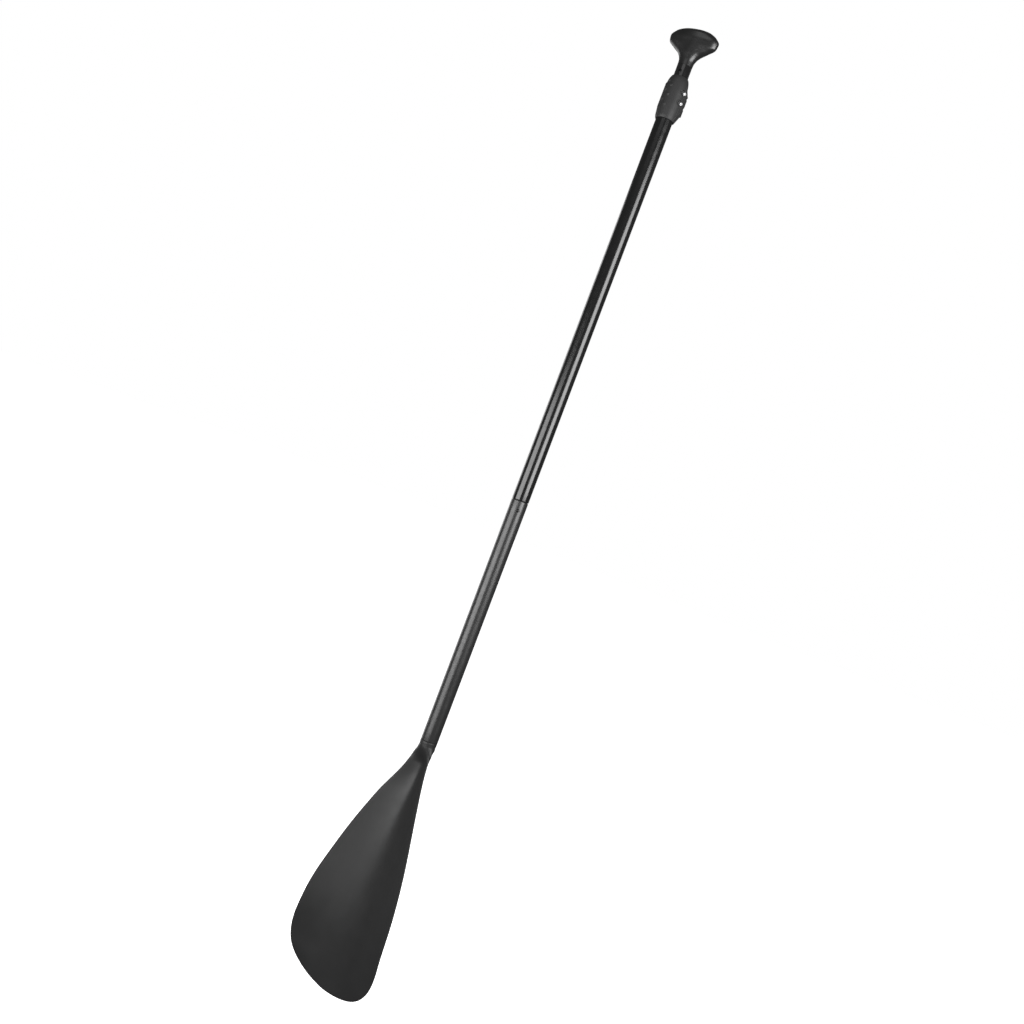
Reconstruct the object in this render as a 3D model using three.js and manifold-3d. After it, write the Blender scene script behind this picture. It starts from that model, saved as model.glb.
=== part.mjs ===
// Adjustable single-blade paddle: a moulded blade, a two-piece aluminium shaft joined by a
// ferrule with a snap button, and a sliding extension tube with a palm grip that a split
// collar and a cam lever clamp at the wanted length.
// Millimetres, +Z up along the shaft. The origin is on the shaft's axis where the blade's
// shoulder meets the lower tube. The blade's cupped face looks along -Y.

import * as THREE from 'three';
import { mergeVertices } from 'three/addons/utils/BufferGeometryUtils.js';
import Module from 'manifold-3d';

const wasm = await Module();
wasm.setup();

// ---------------------------------------------------------------- driving dimensions

const GAP = 0.3; // clearance between pieces that sit against each other
const ROUND = 40; // facets round a tube

const SHAFT_R = 14.3;
const TUBE_WALL = 1.2;
const TUBE_CHAMFER = 0.8;
const SHAFT_BORE_R = SHAFT_R - TUBE_WALL;
const LOWER_SHAFT_LENGTH = 421;
const UPPER_SHAFT_LENGTH = 728;

const FERRULE_R = SHAFT_BORE_R - GAP;
const FERRULE_BORE_R = 10.6;
const FERRULE_BELOW = 58; // how far the ferrule reaches into the lower tube
const FERRULE_ABOVE = 46; // and into the upper tube
const BUTTON_BELOW_JOINT = 16.4;
const BUTTON_ANGLE = -42; // degrees round the shaft from +X
const BUTTON_R = 2.5;
const BUTTON_PROUD = 1.2;
const BUTTON_FLANGE = 0.8; // how far the flange inside the ferrule stands out from the pin
const SPRING_WIDTH = 5;
const SPRING_STRIP = 0.5;
const SPRING_LEG = 38; // from the button down to the spring's bend
const FLOAT_PLUG_LENGTH = 45;

const RIVET_R = 1.6;
const RIVET_HOLE_R = 1.9;
const RIVET_HEAD_R = 3.4;
const BLADE_RIVET_ANGLE = 90;
const BLADE_RIVET_Z = 35;
const FERRULE_RIVET_ANGLE = BUTTON_ANGLE + 180;
const FERRULE_RIVET_ABOVE_JOINT = 28;

const BLADE_LENGTH = 433;
const BLADE_HALF_WIDTH = 103;
const WIDEST_DEPTH = 350; // how far down the blade it is widest
const NECK_R = 13.9;
const NECK_LENGTH = 8;
const SPIGOT_R = SHAFT_BORE_R - GAP;
const SPIGOT_BORE_R = 9;
const SPIGOT_LENGTH = 70;
const SHELL_THICKNESS = 4.4;

const EXTENSION_R = 12.4;
const EXTENSION_WALL = 1.2;
const EXTENSION_BORE_R = EXTENSION_R - EXTENSION_WALL;
const EXTENSION_BOTTOM = 692;
const EXTENSION_TOP = 1184;
const BUSH_HEIGHT = 10;
const BUSH_BORE_R = 6.3;
const END_PLUG_REACH = 22;

const GRIP_TOP = 1249;
const GRIP_HALF_LENGTH = 42.6;
const GRIP_HALF_DEPTH = 17.3;
const GRIP_TURN = 16; // degrees that the grip stands turned from the blade's plane
const GRIP_SPIGOT_LENGTH = 26;
const GRIP_SCREW_BELOW = 12.4;

const COLLAR_BOTTOM = 1089.3;
const COLLAR_TOP = 1163.4;
const COLLAR_BORE_R = SHAFT_R + 0.2;
const COLLAR_LIP_R = EXTENSION_R + 0.4;
const SLIT_HALF = 0.8;
const EAR_ANGLE = 26; // degrees round the shaft from +X to the clamp's ears
const EAR_REACH = 21.6;
const EAR_HALF = 7.2; // from the slit's middle to each ear's outer face
const BOLT_REACH = 17.5; // bolts' distance from the shaft's axis
const BOLT_HEIGHTS = { lower: 1121, upper: 1138.3 };
const BOLT_R = 1.7;
const BOLT_HEAD_R = 3.1;
const BOLT_HEAD_HEIGHT = 2.4;
const BOLT_HEAD_SUNK = 0.9;
const BOLT_CLEARANCE = 0.25;
const WASHER_R = 3;
const WASHER_THICKNESS = 0.6;
const CAM_PLATE_THICKNESS = 0.9;
const BARREL_R = 2.8;
const CAM_R = 3.9;
const CAM_FLAT = 3.3; // from the barrel's axis to the flat that frees the clamp
const BARREL_BEHIND = EAR_HALF + GAP + CAM_PLATE_THICKNESS + GAP + CAM_R;
const CAM_BOTTOM = 1107;
const CAM_TOP = 1142;
const LEVER_INNER_R = 16.7;
const LEVER_OUTER_R = 19.4;
const LEVER_TIP_ANGLE = 243;
const LEVER_ROOT = 36; // degrees from the ears to where the lever's arc leaves the cam
const LEVER_ROOM = 0.6; // clearance over and under the lever
const LEVER_SWING = 120;

const JOINT_Z = LOWER_SHAFT_LENGTH + GAP;
const UPPER_SHAFT_BOTTOM = JOINT_Z + GAP;
const UPPER_SHAFT_TOP = UPPER_SHAFT_BOTTOM + UPPER_SHAFT_LENGTH;
const BUTTON_Z = JOINT_Z - BUTTON_BELOW_JOINT;
const FERRULE_RIVET_Z = JOINT_Z + FERRULE_RIVET_ABOVE_JOINT;
const GRIP_FRONT = GRIP_TURN - 90; // degrees from +X to the grip's front
const GRIP_SCREW_Z = EXTENSION_TOP - GRIP_SCREW_BELOW;
const BUSH_TOP = EXTENSION_BOTTOM - GAP;
const BUSH_BOTTOM = BUSH_TOP - BUSH_HEIGHT;
const HEAD_SEAT = EAR_HALF - BOLT_HEAD_SUNK - BOLT_HEAD_HEIGHT; // in front of the slit
const WASHER_SEAT = HEAD_SEAT - WASHER_THICKNESS;
const LEVER_BOTTOM = CAM_BOTTOM;
const LEVER_TOP = CAM_TOP + 6;
const LEVER_TIP = LEVER_TIP_ANGLE - EAR_ANGLE;

// ---------------------------------------------------------------- geometry helpers

const rad = THREE.MathUtils.degToRad;
const smooth = (x, from, to) => THREE.MathUtils.smoothstep(x, from, to);
const mix = THREE.MathUtils.lerp;

/** Leaves only the positions, with shared corners merged, so the mesh is closed. */
function welded(geometry) {
  geometry.deleteAttribute('normal');
  geometry.deleteAttribute('uv');
  return mergeVertices(geometry, 1e-4);
}

/** Turns every face over when the geometry encloses a negative volume. */
function facingOut(geometry) {
  const p = geometry.getAttribute('position');
  const index = geometry.getIndex().array;
  const [a, b, c] = [new THREE.Vector3(), new THREE.Vector3(), new THREE.Vector3()];
  let volume = 0;
  for (let i = 0; i < index.length; i += 3) {
    a.fromBufferAttribute(p, index[i]);
    b.fromBufferAttribute(p, index[i + 1]);
    c.fromBufferAttribute(p, index[i + 2]);
    volume += a.dot(b.cross(c));
  }
  if (volume < 0) {
    for (let i = 0; i < index.length; i += 3) {
      [index[i + 1], index[i + 2]] = [index[i + 2], index[i + 1]];
    }
  }
  return geometry;
}

function toManifold(geometry) {
  const flat = geometry.getIndex() && !geometry.getAttribute('uv') ? geometry : welded(geometry);
  return new wasm.Manifold(new wasm.Mesh({
    numProp: 3,
    vertProperties: new Float32Array(flat.getAttribute('position').array),
    triVerts: new Uint32Array(flat.getIndex().array),
  }));
}

function fromManifold(solid) {
  const mesh = solid.getMesh();
  const geometry = new THREE.BufferGeometry();
  geometry.setAttribute('position', new THREE.BufferAttribute(mesh.vertProperties, 3));
  geometry.setIndex(new THREE.BufferAttribute(mesh.triVerts, 1));
  return geometry;
}

function cut(geometry, ...tools) {
  const solid = tools.reduce((rest, tool) => rest.subtract(toManifold(tool)), toManifold(geometry));
  return fromManifold(solid);
}

function join(geometry, ...others) {
  const solid = others.reduce((sum, other) => sum.add(toManifold(other)), toManifold(geometry));
  return fromManifold(solid);
}

/** A closed [radius, height] profile turned round the Z axis. */
function turned(profile, facets = ROUND) {
  const points = profile.map(([r, z]) => new THREE.Vector2(r, z));
  const geometry = welded(new THREE.LatheGeometry(points, facets));
  geometry.rotateX(Math.PI / 2);
  return facingOut(geometry);
}

/** A turned solid with no bore: the profile starts and ends on the axis. */
function turnedSolid(profile, facets) {
  const [bottom, top] = [profile[0][1], profile.at(-1)[1]];
  return turned([[0, bottom], ...profile, [0, top]], facets);
}

function tube(outer, inner, bottom, top, chamfer = 0) {
  return turned([
    [outer - chamfer, bottom],
    [outer, bottom + chamfer * 1.6],
    [outer, top - chamfer * 1.6],
    [outer - chamfer, top],
    [inner, top],
    [inner, bottom],
    [outer - chamfer, bottom],
  ].filter(([r, z], i, all) => i === 0 || r !== all[i - 1][0] || z !== all[i - 1][1]));
}

/** Joins equal loops of points into one closed skin, with a flat fan on each end. */
function loft(loops) {
  const count = loops[0].length;
  const corners = loops.flat();
  const middleOf = (loop) => (
    loop.reduce((sum, p) => sum.add(p), new THREE.Vector3()).divideScalar(count)
  );
  const middles = [middleOf(loops[0]), middleOf(loops.at(-1))];
  const index = [];
  for (let row = 0; row < loops.length - 1; row += 1) {
    for (let i = 0; i < count; i += 1) {
      const a = row * count + i;
      const b = row * count + ((i + 1) % count);
      index.push(a, b, a + count, b, b + count, a + count);
    }
  }
  const first = corners.length;
  const lastRow = (loops.length - 1) * count;
  for (let i = 0; i < count; i += 1) {
    const next = (i + 1) % count;
    index.push(first, next, i, first + 1, lastRow + i, lastRow + next);
  }
  const geometry = new THREE.BufferGeometry().setFromPoints([...corners, ...middles]);
  geometry.setIndex(index);
  return facingOut(geometry);
}

/** A flat outline of [x, y] points raised from one height to another. */
function slab(outline, bottom, top) {
  const shape = new THREE.Shape(outline.map(([x, y]) => new THREE.Vector2(x, y)));
  const geometry = new THREE.ExtrudeGeometry(shape, { depth: top - bottom, bevelEnabled: false });
  geometry.translate(0, 0, bottom);
  return facingOut(welded(geometry));
}

/** Points of an arc round a centre, from one angle to another in degrees. */
function arc(radius, from, to, steps, centre = [0, 0]) {
  return Array.from({ length: steps + 1 }, (_, i) => {
    const angle = rad(mix(from, to, i / steps));
    return [centre[0] + radius * Math.cos(angle), centre[1] + radius * Math.sin(angle)];
  });
}

/** Turns a geometry built on the Z axis so that its axis points out from the shaft. */
function radial(geometry, angle, height) {
  geometry.rotateY(Math.PI / 2);
  geometry.rotateZ(rad(angle));
  geometry.translate(0, 0, height);
  return geometry;
}

function radialHole(radius, angle, height, from = 0, to = 40) {
  return radial(turnedSolid([[radius, from], [radius, to]], 20), angle, height);
}

/** Turns a piece built with its ears along +X and its bolt heads towards -Y into place. */
function onClamp(geometry) {
  return geometry.rotateZ(rad(EAR_ANGLE));
}

function block([x0, y0, z0], [x1, y1, z1]) {
  const box = welded(new THREE.BoxGeometry(x1 - x0, y1 - y0, z1 - z0));
  return box.translate((x0 + x1) / 2, (y0 + y1) / 2, (z0 + z1) / 2);
}

/** A round bar across the slit: its [radius, distance] profile runs towards the front. */
function boltBar(profile, height, facets = 24) {
  const bar = turnedSolid(profile, facets);
  bar.rotateX(Math.PI / 2);
  return bar.translate(BOLT_REACH, 0, height);
}

// ---------------------------------------------------------------- blade

/** The blade's half width at a depth below the shaft: a flare, then a blunt rounded tip. */
const flare = new THREE.SplineCurve([
  [NECK_LENGTH, NECK_R],
  [20, 17.6],
  [34, 20.2],
  [52, 24.8],
  [112, 48],
  [212, 80],
  [292, 97.4],
  [WIDEST_DEPTH, BLADE_HALF_WIDTH],
].map(([depth, half]) => new THREE.Vector2(depth, half)));

/** How far the rim lies in front of the shaft's axis. */
const rimLine = new THREE.SplineCurve([
  [NECK_LENGTH, 1],
  [20, 4],
  [52, 9.8],
  [112, 23],
  [212, 35.3],
  [330, 46.6],
  [392, 42.3],
  [BLADE_LENGTH, 31],
].map(([depth, forward]) => new THREE.Vector2(depth, forward)));

/** How far the middle of the cupped face lies in front of the axis. */
const floorLine = new THREE.SplineCurve([
  [NECK_LENGTH, -3],
  [50, -4],
  [112, 4],
  [212, 16],
  [330, 27],
  [BLADE_LENGTH, 31],
].map(([depth, forward]) => new THREE.Vector2(depth, forward)));

/** The curve's second coordinate where its first one reaches the wanted value. */
function along(curve, wanted) {
  let [low, high] = [0, 1];
  for (let i = 0; i < 30; i += 1) {
    const middle = (low + high) / 2;
    if (curve.getPoint(middle).x < wanted) low = middle;
    else high = middle;
  }
  return curve.getPoint(low).y;
}

function halfWidth(depth) {
  if (depth <= WIDEST_DEPTH) return along(flare, depth);
  const t = (depth - WIDEST_DEPTH) / (BLADE_LENGTH - WIDEST_DEPTH);
  return BLADE_HALF_WIDTH * Math.sqrt(1 - t ** 2.8);
}

/** The rounded spine that carries the neck on down the blade's back and fades into it. */
function spine(depth, across, floor) {
  const faded = smooth(depth, -10, 150);
  const radius = NECK_R * (1 - faded);
  const round = Math.sqrt(Math.max(0, radius ** 2 - across ** 2));
  return floor * faded + round - 3 * Math.max(0, Math.abs(across) - radius);
}

/** The greater of two values, with the corner between them rounded. */
function smoothMax(a, b, rounding) {
  return (a + b + Math.hypot(a - b, rounding)) / 2;
}

/** One closed section of the blade: a round neck that opens into a cupped shell. */
function bladeSection(depth, count) {
  const half = halfWidth(depth);
  const rim = -along(rimLine, depth);
  const floor = -along(floorLine, depth);
  const opened = smooth(depth, NECK_LENGTH, 42); // the front is scooped out
  const flanged = smooth(depth, NECK_LENGTH, 22); // and the flanges leave the neck
  return Array.from({ length: count }, (_, i) => {
    const angle = (i / count) * 2 * Math.PI;
    const [across, side] = [Math.cos(angle), Math.sin(angle)];
    const middle = mix(floor, rim, across ** 2);
    const shell = middle + Math.sign(side) * (SHELL_THICKNESS / 2) * Math.sqrt(Math.abs(side));
    const back = smoothMax(shell, spine(depth, half * across, floor), Math.abs(side));
    const y = side < 0 ? mix(NECK_R * side, shell, opened) : mix(NECK_R * side, back, flanged);
    return new THREE.Vector3(half * across, y, -depth);
  });
}

function blade() {
  const count = 44;
  const ring = (radius, z) => Array.from({ length: count }, (_, i) => {
    const angle = (i / count) * 2 * Math.PI;
    return new THREE.Vector3(radius * Math.cos(angle), radius * Math.sin(angle), z);
  });
  const shoulder = -GAP;
  const loops = [
    ring(SPIGOT_BORE_R, 8),
    ring(SPIGOT_BORE_R, SPIGOT_LENGTH),
    ring(SPIGOT_R - 1, SPIGOT_LENGTH),
    ring(SPIGOT_R, SPIGOT_LENGTH - 2),
    ring(SPIGOT_R, shoulder),
    ring(SHAFT_R, shoulder),
    ring(SHAFT_R, -4),
  ];
  const throatRows = 8;
  const throatEnd = 60;
  for (let i = 0; i <= throatRows; i += 1) {
    loops.push(bladeSection(mix(NECK_LENGTH, throatEnd, i / throatRows), count));
  }
  const flareRows = 12;
  for (let i = 1; i <= flareRows; i += 1) {
    loops.push(bladeSection(mix(throatEnd, WIDEST_DEPTH, i / flareRows), count));
  }
  const tipRows = 9;
  const tipEnd = 0.95; // the last row stops short of the point, as the tip's edge
  for (let i = 1; i <= tipRows; i += 1) {
    const share = Math.sin((i / tipRows) * tipEnd * Math.PI / 2);
    loops.push(bladeSection(mix(WIDEST_DEPTH, BLADE_LENGTH, share), count));
  }
  return cut(loft(loops), radialHole(RIVET_HOLE_R, BLADE_RIVET_ANGLE, BLADE_RIVET_Z));
}

// ---------------------------------------------------------------- rivets and shaft tubes

/** A blind rivet through a tube's wall, with its low domed head on the outside. */
function rivet(angle, height) {
  const head = SHAFT_R + GAP;
  const tail = FERRULE_BORE_R - 2; // where the set end bulges behind the wall
  return radial(turnedSolid([
    [RIVET_R + 0.5, tail - 1.5],
    [RIVET_R + 0.5, tail - 0.4],
    [RIVET_R, tail],
    [RIVET_R, head],
    [RIVET_HEAD_R, head],
    [RIVET_HEAD_R * 0.85, head + 0.6],
    [RIVET_HEAD_R * 0.4, head + 1],
  ], 20), angle, height);
}

function lowerShaft() {
  return cut(
    tube(SHAFT_R, SHAFT_BORE_R, 0, LOWER_SHAFT_LENGTH, TUBE_CHAMFER),
    radialHole(BUTTON_R + GAP, BUTTON_ANGLE, BUTTON_Z),
    radialHole(RIVET_HOLE_R, BLADE_RIVET_ANGLE, BLADE_RIVET_Z),
  );
}

function upperShaft() {
  const [slotDepth, slotHalf] = [46, 1]; // the slot lets the clamp squeeze the tube's top
  const slotBottom = UPPER_SHAFT_TOP - slotDepth;
  return cut(
    tube(SHAFT_R, SHAFT_BORE_R, UPPER_SHAFT_BOTTOM, UPPER_SHAFT_TOP, TUBE_CHAMFER),
    onClamp(block([6, -slotHalf, slotBottom], [SHAFT_R + 6, slotHalf, UPPER_SHAFT_TOP + 1])),
    radialHole(RIVET_HOLE_R, FERRULE_RIVET_ANGLE, FERRULE_RIVET_Z),
  );
}

function floatPlug() {
  const bottom = SPIGOT_LENGTH + 8;
  return turnedSolid([[SPIGOT_R, bottom], [SPIGOT_R, bottom + FLOAT_PLUG_LENGTH]]);
}

// ---------------------------------------------------------------- ferrule and snap button

function ferrule() {
  return cut(
    tube(FERRULE_R, FERRULE_BORE_R, JOINT_Z - FERRULE_BELOW, JOINT_Z + FERRULE_ABOVE, TUBE_CHAMFER),
    radialHole(BUTTON_R + GAP, BUTTON_ANGLE, BUTTON_Z),
    radialHole(RIVET_HOLE_R, FERRULE_RIVET_ANGLE, FERRULE_RIVET_Z),
  );
}

/** A round pin with a domed end outside the tube and a flange inside the ferrule. */
function snapButton() {
  const crown = SHAFT_R + BUTTON_PROUD;
  const flangeTop = FERRULE_BORE_R - 0.5;
  return radial(turnedSolid([
    [BUTTON_R + BUTTON_FLANGE, flangeTop - 1],
    [BUTTON_R + BUTTON_FLANGE, flangeTop],
    [BUTTON_R, flangeTop],
    [BUTTON_R, crown - 0.9],
    [BUTTON_R * 0.86, crown - 0.35],
    [BUTTON_R * 0.5, crown],
  ], 24), BUTTON_ANGLE, BUTTON_Z);
}

/** A spring strip bent to a V: one leg under the button, the other on the far wall. */
function snapSpring() {
  const [near, far] = [8.8, -9.6]; // the legs' outer faces, from the shaft's axis
  const [straightTop, straightBottom] = [5, -6];
  const [bendR, bend] = [0.9, -SPRING_LEG];
  const shape = new THREE.Shape();
  shape.moveTo(near, straightTop);
  shape.lineTo(near, straightBottom);
  shape.lineTo(bendR, bend);
  shape.absarc(0, bend, bendR, 0, Math.PI, true);
  shape.lineTo(far, straightBottom);
  shape.lineTo(far, straightTop);
  shape.lineTo(far + SPRING_STRIP, straightTop);
  shape.lineTo(far + SPRING_STRIP, straightBottom);
  shape.lineTo(SPRING_STRIP - bendR, bend);
  shape.absarc(0, bend, bendR - SPRING_STRIP, Math.PI, 0, false);
  shape.lineTo(near - SPRING_STRIP, straightBottom);
  shape.lineTo(near - SPRING_STRIP, straightTop);
  const options = { depth: SPRING_WIDTH, bevelEnabled: false, curveSegments: 6 };
  const strap = new THREE.ExtrudeGeometry(shape, options);
  strap.translate(0, 0, -SPRING_WIDTH / 2);
  strap.rotateX(Math.PI / 2);
  strap.rotateZ(rad(BUTTON_ANGLE));
  strap.translate(0, 0, BUTTON_Z);
  return facingOut(welded(strap));
}

// ---------------------------------------------------------------- extension tube and grip

function extensionTube() {
  const screwHoleR = 2.9;
  return cut(
    tube(EXTENSION_R, EXTENSION_BORE_R, EXTENSION_BOTTOM, EXTENSION_TOP - GAP),
    radialHole(screwHoleR, GRIP_FRONT, GRIP_SCREW_Z),
  );
}

/** The ring that centres the extension tube's lower end in the shaft and lets it turn. */
function guideBush() {
  return tube(SHAFT_BORE_R - 0.2, BUSH_BORE_R, BUSH_BOTTOM, BUSH_TOP);
}

/** Closes the extension tube's lower end and keeps the bush on it. */
function endPlug() {
  const flange = { radius: 9, thickness: 3 };
  return turnedSolid([
    [flange.radius - 0.5, BUSH_BOTTOM - GAP - flange.thickness],
    [flange.radius, BUSH_BOTTOM - GAP],
    [BUSH_BORE_R - GAP, BUSH_BOTTOM - GAP],
    [BUSH_BORE_R - GAP, EXTENSION_BOTTOM],
    [EXTENSION_BORE_R - GAP, EXTENSION_BOTTOM],
    [EXTENSION_BORE_R - GAP, EXTENSION_BOTTOM + END_PLUG_REACH],
  ]);
}

/** Outline of the grip: height above its shoulder, half length and half depth. */
const GRIP_STATIONS = [
  [0, EXTENSION_R, EXTENSION_R],
  [7, EXTENSION_R + 0.5, EXTENSION_R],
  [14, 15.3, 13],
  [21, 20.6, 14.2],
  [29, 31.2, 15],
  [38, GRIP_HALF_LENGTH - 1.3, 16],
  [47, GRIP_HALF_LENGTH, GRIP_HALF_DEPTH],
  [55, GRIP_HALF_LENGTH - 6.4, 16.5],
  [61, GRIP_HALF_LENGTH - 16.6, 10.5],
  [GRIP_TOP - EXTENSION_TOP, 12, 2.5],
];

function grip() {
  const count = 40;
  const lengthLine = new THREE.SplineCurve(GRIP_STATIONS.map(([h, a]) => new THREE.Vector2(h, a)));
  const depthLine = new THREE.SplineCurve(GRIP_STATIONS.map(([h, , b]) => new THREE.Vector2(h, b)));
  const oval = (a, b, z) => Array.from({ length: count }, (_, i) => {
    const angle = (i / count) * 2 * Math.PI;
    return new THREE.Vector3(a * Math.cos(angle), b * Math.sin(angle), z);
  });
  const spigot = EXTENSION_BORE_R - GAP;
  const spigotBottom = EXTENSION_TOP - GRIP_SPIGOT_LENGTH;
  const loops = [
    oval(spigot - 1, spigot - 1, spigotBottom),
    oval(spigot, spigot, spigotBottom + 2),
    oval(spigot, spigot, EXTENSION_TOP),
  ];
  const rows = 18;
  for (let i = 0; i <= rows; i += 1) {
    const t = i / rows;
    const [height, half] = lengthLine.getPoint(t).toArray();
    loops.push(oval(half, depthLine.getPoint(t).y, EXTENSION_TOP + height));
  }
  const body = loft(loops);
  body.rotateZ(rad(GRIP_TURN));
  return cut(body, radialHole(1.6, GRIP_FRONT, GRIP_SCREW_Z, 2));
}

function gripScrew() {
  const seat = EXTENSION_BORE_R - 0.1;
  const [shankR, headR] = [1.3, 2.5];
  return radial(turnedSolid([
    [0.6, 3],
    [shankR, 4.5],
    [shankR, seat],
    [headR, seat],
    [headR, seat + 0.6],
    [headR - 0.6, seat + 0.9],
  ], 24), GRIP_FRONT, GRIP_SCREW_Z);
}

// ---------------------------------------------------------------- clamp collar and cam lever

/** The fin, in the plane of the slit, that the two ears are cut from. */
function earFin() {
  const profile = [
    [12, COLLAR_BOTTOM + 0.5],
    [14.3, COLLAR_BOTTOM + 0.5],
    [EAR_REACH, COLLAR_BOTTOM + 17],
    [EAR_REACH, COLLAR_BOTTOM + 50.5],
    [15.2, COLLAR_BOTTOM + 66],
    [12, COLLAR_BOTTOM + 66],
  ];
  const shape = new THREE.Shape(profile.map(([x, z]) => new THREE.Vector2(x, z)));
  const fin = welded(new THREE.ExtrudeGeometry(shape, { depth: 2 * EAR_HALF, bevelEnabled: false }));
  fin.rotateX(Math.PI / 2);
  return facingOut(fin.translate(0, EAR_HALF, 0));
}

/** A ring sector between two radii and two angles round the shaft, in clamp directions. */
function ringSector(inner, outer, from, to, bottom, top, steps = 24) {
  const outline = [...arc(inner, from, to, steps), ...arc(outer, to, from, steps)];
  return slab(outline, bottom, top);
}

/** A round disc about the cam barrel's axis. */
function aboutPivot(radius, bottom, top, facets = 28) {
  const disc = turnedSolid([[radius, bottom], [radius, top]], facets);
  return disc.translate(BOLT_REACH, BARREL_BEHIND, 0);
}

/** Small domes that give the fingers a hold on the collar, in two staggered columns. */
function gripDomes() {
  const columns = [
    { angle: 276, heights: [1110.5, 1127.5, 1143.5] },
    { angle: 252, heights: [1119, 1135.5, 1151] },
  ];
  const domeR = 2.8;
  const flattened = 0.55;
  return columns.flatMap(({ angle, heights }) => heights.map((height) => {
    const dome = welded(new THREE.SphereGeometry(domeR, 14, 8));
    dome.scale(flattened, 1, 1);
    const seat = height > COLLAR_TOP - 14 ? 18.2 : 19.2;
    dome.translate(seat, 0, height);
    return dome.rotateZ(rad(angle - EAR_ANGLE));
  }));
}

/** A bolt's way through the ears, with a counterbore that flares out of the collar's side. */
function boltPocket(height) {
  const bore = BOLT_HEAD_R + 0.2;
  return boltBar([
    [BOLT_R + BOLT_CLEARANCE, -EAR_HALF - 1],
    [BOLT_R + BOLT_CLEARANCE, WASHER_SEAT],
    [bore, WASHER_SEAT],
    [bore, EAR_HALF - 0.3],
    [bore + 1, EAR_HALF],
    [bore + 2.8, EAR_HALF + 9],
    [bore + 2.8, EAR_HALF + 14],
  ], height);
}

/** The split collar: a turned body with two ears, a lever seat behind and grip domes. */
function clampCollar() {
  const body = turned([
    [COLLAR_BORE_R, COLLAR_BOTTOM],
    [15.9, COLLAR_BOTTOM],
    [17.4, COLLAR_BOTTOM + 4],
    [18.2, COLLAR_BOTTOM + 10],
    [19, COLLAR_BOTTOM + 18],
    [19.5, COLLAR_BOTTOM + 28],
    [19.5, COLLAR_BOTTOM + 46],
    [18.9, COLLAR_BOTTOM + 56],
    [17.4, COLLAR_BOTTOM + 66],
    [16.2, COLLAR_BOTTOM + 70],
    [14.4, COLLAR_TOP],
    [COLLAR_LIP_R, COLLAR_TOP],
    [COLLAR_LIP_R, UPPER_SHAFT_TOP + GAP],
    [COLLAR_BORE_R, UPPER_SHAFT_TOP + GAP],
    [COLLAR_BORE_R, COLLAR_BOTTOM],
  ], 48);
  const bore = turnedSolid([
    [COLLAR_BORE_R, COLLAR_BOTTOM - 1],
    [COLLAR_BORE_R, UPPER_SHAFT_TOP + GAP],
    [COLLAR_LIP_R, UPPER_SHAFT_TOP + GAP],
    [COLLAR_LIP_R, COLLAR_TOP + 1],
  ], 48);
  const [seatBottom, seatTop] = [LEVER_BOTTOM - LEVER_ROOM, LEVER_TOP + LEVER_ROOM];
  const seatR = LEVER_INNER_R - 0.5;
  const leverSeat = ringSector(seatR, 30, LEVER_ROOT - 14, LEVER_TIP + 2, seatBottom, seatTop);
  const behindEars = block([12, EAR_HALF, seatBottom], [30, 30, seatTop]);
  const slit = block([10, -SLIT_HALF, COLLAR_BOTTOM - 1], [EAR_REACH + 1, SLIT_HALF, COLLAR_TOP + 1]);
  const pockets = Object.values(BOLT_HEIGHTS).map(boltPocket);
  return onClamp(cut(join(body, earFin(), ...gripDomes()), bore, slit, leverSeat, behindEars, ...pockets));
}

/** A cap screw from the front ear, through the cam plate, into the cam barrel. */
function clampBolt(height) {
  const headTop = EAR_HALF - BOLT_HEAD_SUNK;
  const [edge, socketR, socketDepth] = [0.5, 1.5, 1.7];
  const bolt = boltBar([
    [BOLT_R, -BARREL_BEHIND - BARREL_R + 0.6],
    [BOLT_R, HEAD_SEAT],
    [BOLT_HEAD_R, HEAD_SEAT],
    [BOLT_HEAD_R, headTop - edge],
    [BOLT_HEAD_R - edge, headTop],
  ], height);
  const socket = boltBar([[socketR, headTop - socketDepth], [socketR, headTop + 1]], height, 6);
  return onClamp(cut(bolt, socket));
}

function clampWasher(height) {
  const [back, front] = [WASHER_SEAT + 0.1, HEAD_SEAT - 0.1];
  const inner = BOLT_R + BOLT_CLEARANCE;
  const profile = [[WASHER_R, back], [WASHER_R, front], [inner, front], [inner, back], [WASHER_R, back]];
  const washer = turned(profile, 24);
  washer.rotateX(Math.PI / 2);
  return onClamp(washer.translate(BOLT_REACH, 0, height));
}

/** Round ways for both bolts, from far behind up to the slit. */
function boltWays(radius) {
  return Object.values(BOLT_HEIGHTS).map((height) => (
    boltBar([[radius, -BARREL_BEHIND - BARREL_R - 1], [radius, 0]], height)
  ));
}

/** The metal wear plate between the back ear and the cam. */
function camPlate() {
  const [back, front] = [EAR_HALF + GAP + CAM_PLATE_THICKNESS, EAR_HALF + GAP];
  const plate = block([BOLT_REACH - 4, front, CAM_BOTTOM + 1], [EAR_REACH - 0.5, back, CAM_TOP - 1]);
  return onClamp(cut(plate, ...boltWays(BOLT_R + BOLT_CLEARANCE)));
}

/** The steel pin that the bolts screw into and the lever turns on. */
function camBarrel() {
  return onClamp(cut(aboutPivot(BARREL_R, CAM_BOTTOM, CAM_TOP), ...boltWays(BOLT_R + 0.1)));
}

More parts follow.
